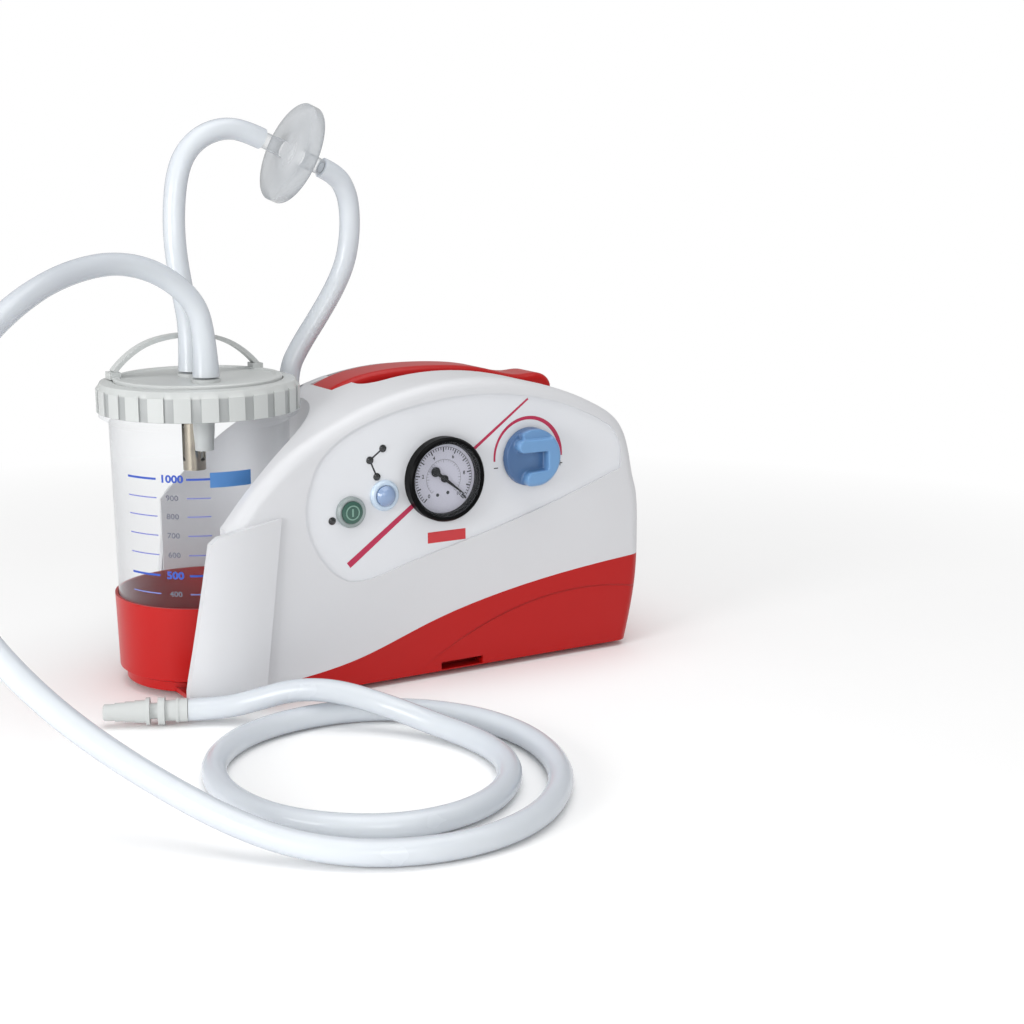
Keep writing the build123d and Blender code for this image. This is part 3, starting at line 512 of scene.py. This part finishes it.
def arcBand(x, z, r, startDeg, endDeg, startWide, endWide, steps=48):
    # a curved band that changes width along its way, as one outline
    outer, inner = [], []
    for k in range(steps + 1):
        share = k / steps
        angle = math.radians(startDeg + (endDeg - startDeg) * share)
        wide = (startWide + (endWide - startWide) * share) / 2
        outer.append((x + (r + wide) * math.cos(angle), z + (r + wide) * math.sin(angle)))
        inner.append((x + (r - wide) * math.cos(angle), z + (r - wide) * math.sin(angle)))
    return outer + inner[::-1]


def bandShapes(x, z, r, startDeg, endDeg, startWide, endWide, steps=48):
    # the same band as small four-sided pieces, which stay flat and even
    outline = arcBand(x, z, r, startDeg, endDeg, startWide, endWide, steps)
    outer, inner = outline[:steps + 1], outline[steps + 1:][::-1]
    return [[outer[k], outer[k + 1], inner[k + 1], inner[k]] for k in range(steps)]


def bar(x0, z0, x1, z1, wide, wideEnd=None):
    # a straight strip between two places
    wideEnd = wide if wideEnd is None else wideEnd
    long = math.hypot(x1 - x0, z1 - z0)
    nx, nz = -(z1 - z0) / long, (x1 - x0) / long
    return [(x0 + nx * wide / 2, z0 + nz * wide / 2), (x1 + nx * wideEnd / 2, z1 + nz * wideEnd / 2),
            (x1 - nx * wideEnd / 2, z1 - nz * wideEnd / 2), (x0 - nx * wide / 2, z0 - nz * wide / 2)]


def disc(x, z, r, sides=32):
    return [(x + r * math.cos(2 * math.pi * k / sides), z + r * math.sin(2 * math.pi * k / sides))
            for k in range(sides)]


knobAt = (84.5, 142.6)
gaugeAt = (19.5, 133.8)
panelPrint = {"proud": 0.08, "stripe": (-49.0, 83.7, 84.7, 181.1), "stripeWide": (4.2, 1.3), "arcR": 25.7,
              "arcFrom": 184.0, "arcTo": -4.0, "arcWide": (1.4, 3.2), "plate": (8.3, 91.3, 36.6, 98.6),
              "plus": (110.3, 135.4), "plusArm": 1.8, "minus": (60.0, 136.4), "minusArm": 1.6, "signWide": 0.7,
              "lamps": [(-59.9, 113.9), (-23.5, 157.1), (-32.8, 150.3), (-28.0, 139.2)], "lineWide": 1.1}
inkOut = panelFront - panelPrint["proud"]
x0, z0, x1, z1 = panelPrint["stripe"]
onPlane("stripe_print", [bar(x0, z0, x1, z1, *panelPrint["stripeWide"])], inkOut, inkRed, "root")
onPlane("knob_arc_print", bandShapes(*knobAt, panelPrint["arcR"], panelPrint["arcFrom"], panelPrint["arcTo"],
                                     *panelPrint["arcWide"]), inkOut, inkRed, "root")
x0, z0, x1, z1 = panelPrint["plate"]
onPlane("bare_plate_print", [[(x0, z0), (x1, z0), (x1, z1), (x0, z1)]], inkOut, inkPlate, "root")
(plusX, plusZ), (minusX, minusZ) = panelPrint["plus"], panelPrint["minus"]
plusArm, minusArm, signWide = panelPrint["plusArm"], panelPrint["minusArm"], panelPrint["signWide"]
signShapes = [bar(plusX - plusArm, plusZ, plusX + plusArm, plusZ, signWide),
              bar(plusX, plusZ + signWide / 2, plusX, plusZ + plusArm, signWide),
              bar(plusX, plusZ - plusArm, plusX, plusZ - signWide / 2, signWide),
              bar(minusX - minusArm, minusZ, minusX + minusArm, minusZ, signWide)]
onPlane("knob_signs_print", signShapes, inkOut, inkBlack, "root")
lamps = panelPrint["lamps"]
onPlane("lamp_lines_print", [bar(*lamps[1], *lamps[2], panelPrint["lineWide"]),
                             bar(*lamps[2], *lamps[3], panelPrint["lineWide"])],
        inkOut, inkBlack, "root")
print("panel printed")

# Dial: a ring of ticks from one tick mesh, numbers, an inner arc and two small marks
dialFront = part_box("gauge_dial")[0].y / mm
dialOut = dialFront - 0.05
dial = {"r": 20.6, "long": 3.0, "short": 1.7, "wide": 0.55, "count": 50, "startDeg": 225.0, "sweepDeg": 270.0,
        "every": 5, "innerR": 12.4, "innerLong": 1.8, "innerShort": 1.1, "innerWide": 0.22, "innerCount": 30,
        "numberR": 15.4, "numberTall": 3.4, "numberHeavier": 0.08, "numbers": 6,
        "arcs": ((12.6, 0.2, 60), (20.8, 0.25, 80)), "dots": ((-4.6, -10.6, 1.15), (3.0, -9.6, 1.15)),
        "stop": (13.4, -11.6, 16.6, -14.6, 1.3)}


def repeatTree(name):
    # a tick repeated about the dial's middle; every fifth one is long
    tree = bpy.data.node_groups.new(name, "GeometryNodeTree")
    face = tree.interface
    for label, kind in (("Count", "Int"), ("Start", "Float"), ("Sweep", "Float"), ("Radius", "Float"),
                        ("Long", "Float"), ("Short", "Float"), ("Wide", "Float"), ("Every", "Int"),
                        ("Material", "Material")):
        face.new_socket(label, in_out="INPUT", socket_type="NodeSocket" + kind)
    face.new_socket("Geometry", in_out="OUTPUT", socket_type="NodeSocketGeometry")
    add, link = tree.nodes.new, tree.links.new
    given, result = add("NodeGroupInput").outputs, add("NodeGroupOutput")

    def maths(kind, a, b=None):
        node = add("ShaderNodeMath")
        node.operation = kind
        for place, value in enumerate((a, b)):
            if value is None:
                continue
            if isinstance(value, (int, float)):
                node.inputs[place].default_value = value
            else:
                link(value, node.inputs[place])
        return node.outputs[0]

    line = add("GeometryNodeMeshLine")
    link(given["Count"], line.inputs["Count"])
    line.inputs["Offset"].default_value = (0, 0, 0)
    index = add("GeometryNodeInputIndex").outputs[0]
    step = maths("DIVIDE", given["Sweep"], maths("SUBTRACT", given["Count"], 1.0))
    angle = maths("SUBTRACT", given["Start"], maths("MULTIPLY", index, step))
    major = maths("LESS_THAN", maths("MODULO", index, given["Every"]), 0.5)
    extra = maths("MULTIPLY", major, maths("SUBTRACT", given["Long"], given["Short"]))
    long = maths("ADD", given["Short"], extra)
    middle = maths("SUBTRACT", given["Radius"], maths("MULTIPLY", long, 0.5))
    place = add("ShaderNodeCombineXYZ")
    link(maths("MULTIPLY", middle, maths("COSINE", angle)), place.inputs["X"])
    link(maths("MULTIPLY", middle, maths("SINE", angle)), place.inputs["Y"])
    turn = add("ShaderNodeCombineXYZ")
    link(angle, turn.inputs["Z"])
    size = add("ShaderNodeCombineXYZ")
    link(long, size.inputs["X"])
    heavier = maths("ADD", 1.0, maths("MULTIPLY", major, 0.5))
    link(maths("MULTIPLY", given["Wide"], heavier), size.inputs["Y"])
    size.inputs["Z"].default_value = 1.0
    setPlace = add("GeometryNodeSetPosition")
    link(line.outputs["Mesh"], setPlace.inputs["Geometry"])
    link(place.outputs[0], setPlace.inputs["Position"])
    grid = add("GeometryNodeMeshGrid")
    grid.inputs["Size X"].default_value = 1.0
    grid.inputs["Size Y"].default_value = 1.0
    grid.inputs["Vertices X"].default_value = 2
    grid.inputs["Vertices Y"].default_value = 2
    spread = add("GeometryNodeInstanceOnPoints")
    link(setPlace.outputs[0], spread.inputs["Points"])
    link(grid.outputs["Mesh"], spread.inputs["Instance"])
    link(turn.outputs[0], spread.inputs["Rotation"])
    link(size.outputs[0], spread.inputs["Scale"])
    real = add("GeometryNodeRealizeInstances")
    link(spread.outputs[0], real.inputs[0])
    dress = add("GeometryNodeSetMaterial")
    link(real.outputs[0], dress.inputs["Geometry"])
    link(given["Material"], dress.inputs["Material"])
    link(dress.outputs[0], result.inputs[0])
    return tree


tickTree = repeatTree("dialTicks")
stood = Matrix.Rotation(math.pi / 2, 4, "X")


def ticks(name, count, radius, long, short, wide, material):
    # runs the tree once and keeps its plain mesh, stood up on the dial
    values = {"Count": count + 1, "Start": math.radians(dial["startDeg"]),
              "Sweep": math.radians(dial["sweepDeg"]), "Radius": radius * mm, "Long": long * mm,
              "Short": short * mm, "Wide": wide * mm, "Every": dial["every"], "Material": material}
    mesh = bpy.data.meshes.new(name + "Seed")
    seed = bpy.data.objects.new(name + "Seed", mesh)
    bpy.context.scene.collection.objects.link(seed)
    run = seed.modifiers.new("repeat", "NODES")
    run.node_group = tickTree
    sockets = {item.name: item.identifier for item in tickTree.interface.items_tree if item.in_out == "INPUT"}
    for key, value in values.items():
        run[sockets[key]] = value
    graph = bpy.context.evaluated_depsgraph_get()
    done = bpy.data.meshes.new_from_object(seed.evaluated_get(graph), depsgraph=graph)
    seed.modifiers.clear()
    bpy.data.objects.remove(seed)
    done.transform(Matrix.Translation((gaugeAt[0] * mm, dialOut * mm, gaugeAt[1] * mm)) @ stood)
    return show(name, done, material, "root")


ticks("dial_ticks_print", dial["count"], dial["r"], dial["long"], dial["short"], dial["wide"], inkBlack)
ticks("dial_inner_ticks_print", dial["innerCount"], dial["innerR"], dial["innerLong"], dial["innerShort"],
      dial["innerWide"], inkGrey)


def lettering(words, tall, heavier=0.0):
    # flat number outlines as a mesh in the XY plane, middle at the origin; heavier thickens the strokes
    data = bpy.data.curves.new("figures", "FONT")
    data.body = words
    data.size = tall
    data.align_x = "CENTER"
    data.align_y = "CENTER"
    data.resolution_u = 3
    data.offset = heavier
    holder = bpy.data.objects.new("figures", data)
    bpy.context.scene.collection.objects.link(holder)
    graph = bpy.context.evaluated_depsgraph_get()
    mesh = bpy.data.meshes.new_from_object(holder.evaluated_get(graph), depsgraph=graph)
    bpy.data.objects.remove(holder)
    return mesh


def joined(name, meshes):
    # several meshes as one
    bm = bmesh.new()
    for mesh in meshes:
        bm.from_mesh(mesh)
    return fromBmesh(name, bm)


figures = []
for k in range(dial["numbers"]):
    angle = math.radians(dial["startDeg"] - dial["sweepDeg"] * k / (dial["numbers"] - 1))
    mesh = lettering(str(k * 2), dial["numberTall"] * mm, dial["numberHeavier"] * mm)
    mesh.transform(Matrix.Translation(((gaugeAt[0] + dial["numberR"] * math.cos(angle)) * mm, dialOut * mm,
                                       (gaugeAt[1] + dial["numberR"] * math.sin(angle)) * mm)) @ stood)
    figures.append(mesh)
show("dial_numbers_print", joined("dial_numbers_print", figures), inkBlack, "root")
marks = [disc(gaugeAt[0] + x, gaugeAt[1] + z, r) for x, z, r in dial["dots"]]
for r, wide, steps in dial["arcs"]:
    marks += bandShapes(*gaugeAt, r, dial["startDeg"], dial["startDeg"] - dial["sweepDeg"], wide, wide, steps)
x0, z0, x1, z1, wide = dial["stop"]
marks.append(bar(gaugeAt[0] + x0, gaugeAt[1] + z0, gaugeAt[0] + x1, gaugeAt[1] + z1, wide))
onPlane("dial_marks_print", marks, dialOut, inkBlack, "root")
print("dial printed")

# Switch sign on the green cap: an upright bar in a ring
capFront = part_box("power_button")[0].y / mm
powerSign = {"at": (-47.2, 118.5), "ringR": 4.4, "ringWide": 0.8, "barHalf": 2.5, "barWide": 1.1, "proud": 0.02,
             "thick": 0.12, "fullTurn": 359.9}
switchX, switchZ = powerSign["at"]
powerShapes = bandShapes(switchX, switchZ, powerSign["ringR"], 0.0, powerSign["fullTurn"],
                         powerSign["ringWide"], powerSign["ringWide"])
powerShapes.append(bar(switchX, switchZ - powerSign["barHalf"], switchX, switchZ + powerSign["barHalf"],
                       powerSign["barWide"]))
onPlane("power_sign", powerShapes, capFront - powerSign["proud"], inkGreen, "power_button",
        powerSign["thick"])

# Nozzle under the lid, where the suction line's spout opens into the jar
nozzle = {"at": (-121.0, -28.0), "sides": 40,
          "profile": [(5.0, 191.8), (6.8, 191.8), (6.8, 170.0), (6.0, 160.0), (5.9, 156.5), (4.6, 156.5),
                      (4.6, 190.0)]}


def spun(name, profile, x, y, sides):
    # a closed profile of (radius, height) points in millimetres, spun about an upright axis
    bm = bmesh.new()
    rings = []
    for r, z in profile:
        turns = [2 * math.pi * k / sides for k in range(sides)]
        rings.append([bm.verts.new(((x + r * math.cos(turn)) * mm, (y + r * math.sin(turn)) * mm, z * mm))
                      for turn in turns])
    for a, b in zip(rings, rings[1:] + rings[:1]):
        for k in range(sides):
            bm.faces.new((a[k], a[(k + 1) % sides], b[(k + 1) % sides], b[k]))
    bmesh.ops.recalc_face_normals(bm, faces=bm.faces)
    mesh = fromBmesh(name, bm)
    smoothByAngle(mesh, 35.0)
    return mesh


nozzleMesh = spun("lid_nozzle", nozzle["profile"], nozzle["at"][0], nozzle["at"][1] + middleY, nozzle["sides"])
show("lid_nozzle", nozzleMesh, finishes["grey_plastic"], "lid")

# Jar print: wrapped on the wall, placed by angle about the jar's axis and by height
jarPrint = {"low": (60.0, 56.2), "high": (172.0, 57.7), "proud": 0.12, "bold": (1000, 500), "wallR": 56.9,
            "marks": ((1000, 142.75), (900, 130.75), (800, 119.0), (700, 106.75), (600, 94.25), (500, 81.0),
                      (400, 69.0)),
            "strips": ((-163.4, -140.3), (-120.6, -105.8)), "numberDeg": -130.0, "spread": 1.15,
            "boldStyle": {"wide": 1.4, "tall": 6.6, "heavier": 0.27},
            "fineStyle": {"wide": 0.8, "tall": 4.8, "heavier": 0.11}, "label": (-105.9, -79.0, 142.0, 9.6)}


def onJar(mesh):
    # bends a mesh drawn as (degrees, height, 0) round the jar
    lowZ, lowR = jarPrint["low"]
    highZ, highR = jarPrint["high"]
    for vertex in mesh.vertices:
        degrees, z, _ = vertex.co
        r = lowR + (highR - lowR) * (z - lowZ) / (highZ - lowZ) + jarPrint["proud"]
        angle = math.radians(degrees)
        vertex.co = ((jarX + r * math.cos(angle)) * mm, (middleY + r * math.sin(angle)) * mm, z * mm)
    return mesh


def jarStrip(fromDeg, toDeg, z, wide):
    # a strip round the jar, cut every two degrees
    bm = bmesh.new()
    steps = max(2, int(abs(toDeg - fromDeg) / 2))
    rows = []
    for k in range(steps + 1):
        at = fromDeg + (toDeg - fromDeg) * k / steps
        rows.append((bm.verts.new((at, z - wide / 2, 0)), bm.verts.new((at, z + wide / 2, 0))))
    for (a, b), (c, d) in zip(rows, rows[1:]):
        bm.faces.new((a, c, d, b))
    return fromBmesh("strip", bm)


degreePerMm = math.degrees(1.0 / jarPrint["wallR"])
bold, faint, plain = [], [], []
for amount, z in jarPrint["marks"]:
    heavy = amount in jarPrint["bold"]
    style = jarPrint["boldStyle"] if heavy else jarPrint["fineStyle"]
    for fromDeg, toDeg in jarPrint["strips"]:
        (bold if heavy else faint).append(jarStrip(fromDeg, toDeg, z, style["wide"]))
    number = lettering(str(amount), style["tall"], style["heavier"])
    for vertex in number.vertices:
        across = vertex.co.x * degreePerMm * jarPrint["spread"]
        vertex.co = (across + jarPrint["numberDeg"], z + vertex.co.y, 0.0)
    (bold if heavy else plain).append(number)
label = [jarStrip(*jarPrint["label"])]
for name, group, ink in (("jar_bold_print", bold, inkBlue), ("jar_fine_print", faint, inkFaint),
                         ("jar_number_print", plain, inkNumber), ("jar_label_print", label, inkLabel)):
    show(name, joined(name, [onJar(mesh) for mesh in group]), ink, "jar")
print("jar printed")

# Studio: pale floor that turns plain white away from the object, soft lights from above and the left
studio = {"floorHalf": 6.0, "fadeFrom": 0.34, "fadeTo": 0.95, "middle": (-0.07, -0.1, 0.0), "world": 0.5,
          "top": ((0.05, -0.25, 1.7), (0.0, -0.05, 0.0), (1.7, 1.5), 15.0),
          "left": ((-1.35, -0.5, 0.4), (-0.09, 0.0, 0.1), (0.6, 0.6), 10.5),
          "front": ((-0.62, -1.5, 0.62), (-0.08, 0.0, 0.13), (0.5, 0.5), 4.0)}


def floorPaper():
    # lit paper near the object, where it keeps the shadow, and even white further out for the camera
    desk = Desk("floorPaper")
    grain = desk.noise(8.0, 2.0)
    body = desk.principled({"Base Color": desk.blend(grain, (0.955, 0.955, 0.955, 1), (0.97, 0.97, 0.97, 1)),
                            "Roughness": 0.7 + grain * 0.05})
    far = desk.add("ShaderNodeVectorMath", {"operation": "DISTANCE"}, {0: desk.place(), 1: studio["middle"]},
                   out="Value")
    share = ((far - studio["fadeFrom"]) * (1.0 / (studio["fadeTo"] - studio["fadeFrom"]))).clamp()
    seen = desk.add("ShaderNodeLightPath", {}, {}, out="Is Camera Ray")
    even = desk.add("ShaderNodeEmission", {}, {"Color": (1, 1, 1, 1), "Strength": 1.0})
    return desk.finish(desk.add("ShaderNodeMixShader", {}, {0: share * seen, 1: body, 2: even}))


floorMesh = bpy.data.meshes.new("floor")
half = studio["floorHalf"]
floorMesh.from_pydata([(-half, -half, 0), (half, -half, 0), (half, half, 0), (-half, half, 0)], [],
                      [(0, 1, 2, 3)])
floor = bpy.data.objects.new("floor", floorMesh)
bpy.context.scene.collection.objects.link(floor)
floor.data.materials.append(floorPaper())

world = bpy.data.worlds.new("studioWorld")
bpy.context.scene.world = world
world.use_nodes = True
air = world.node_tree
air.nodes.clear()
airOut = air.nodes.new("ShaderNodeOutputWorld")
lit = air.nodes.new("ShaderNodeBackground")
lit.inputs["Color"].default_value = (1, 1, 1, 1)
lit.inputs["Strength"].default_value = studio["world"]
seen = air.nodes.new("ShaderNodeBackground")
seen.inputs["Color"].default_value = (1, 1, 1, 1)
seen.inputs["Strength"].default_value = 1.0
rays = air.nodes.new("ShaderNodeLightPath")
mixer = air.nodes.new("ShaderNodeMixShader")
air.links.new(rays.outputs["Is Camera Ray"], mixer.inputs[0])
air.links.new(lit.outputs[0], mixer.inputs[1])
air.links.new(seen.outputs[0], mixer.inputs[2])
air.links.new(mixer.outputs[0], airOut.inputs["Surface"])


def softLight(name, place, target, size, watts):
    # a soft box that points at the target
    data = bpy.data.lights.new(name, "AREA")
    data.shape = "RECTANGLE"
    data.size, data.size_y = size
    data.energy = watts
    lamp = bpy.data.objects.new(name, data)
    lamp.location = place
    lamp.rotation_euler = (Vector(target) - Vector(place)).to_track_quat("-Z", "Y").to_euler()
    bpy.context.scene.collection.objects.link(lamp)


for name in ("top", "left", "front"):
    softLight(name, *studio[name])
bpy.context.scene.view_settings.view_transform = "Standard"
print("studio lit")

bpy.context.view_layer.update()
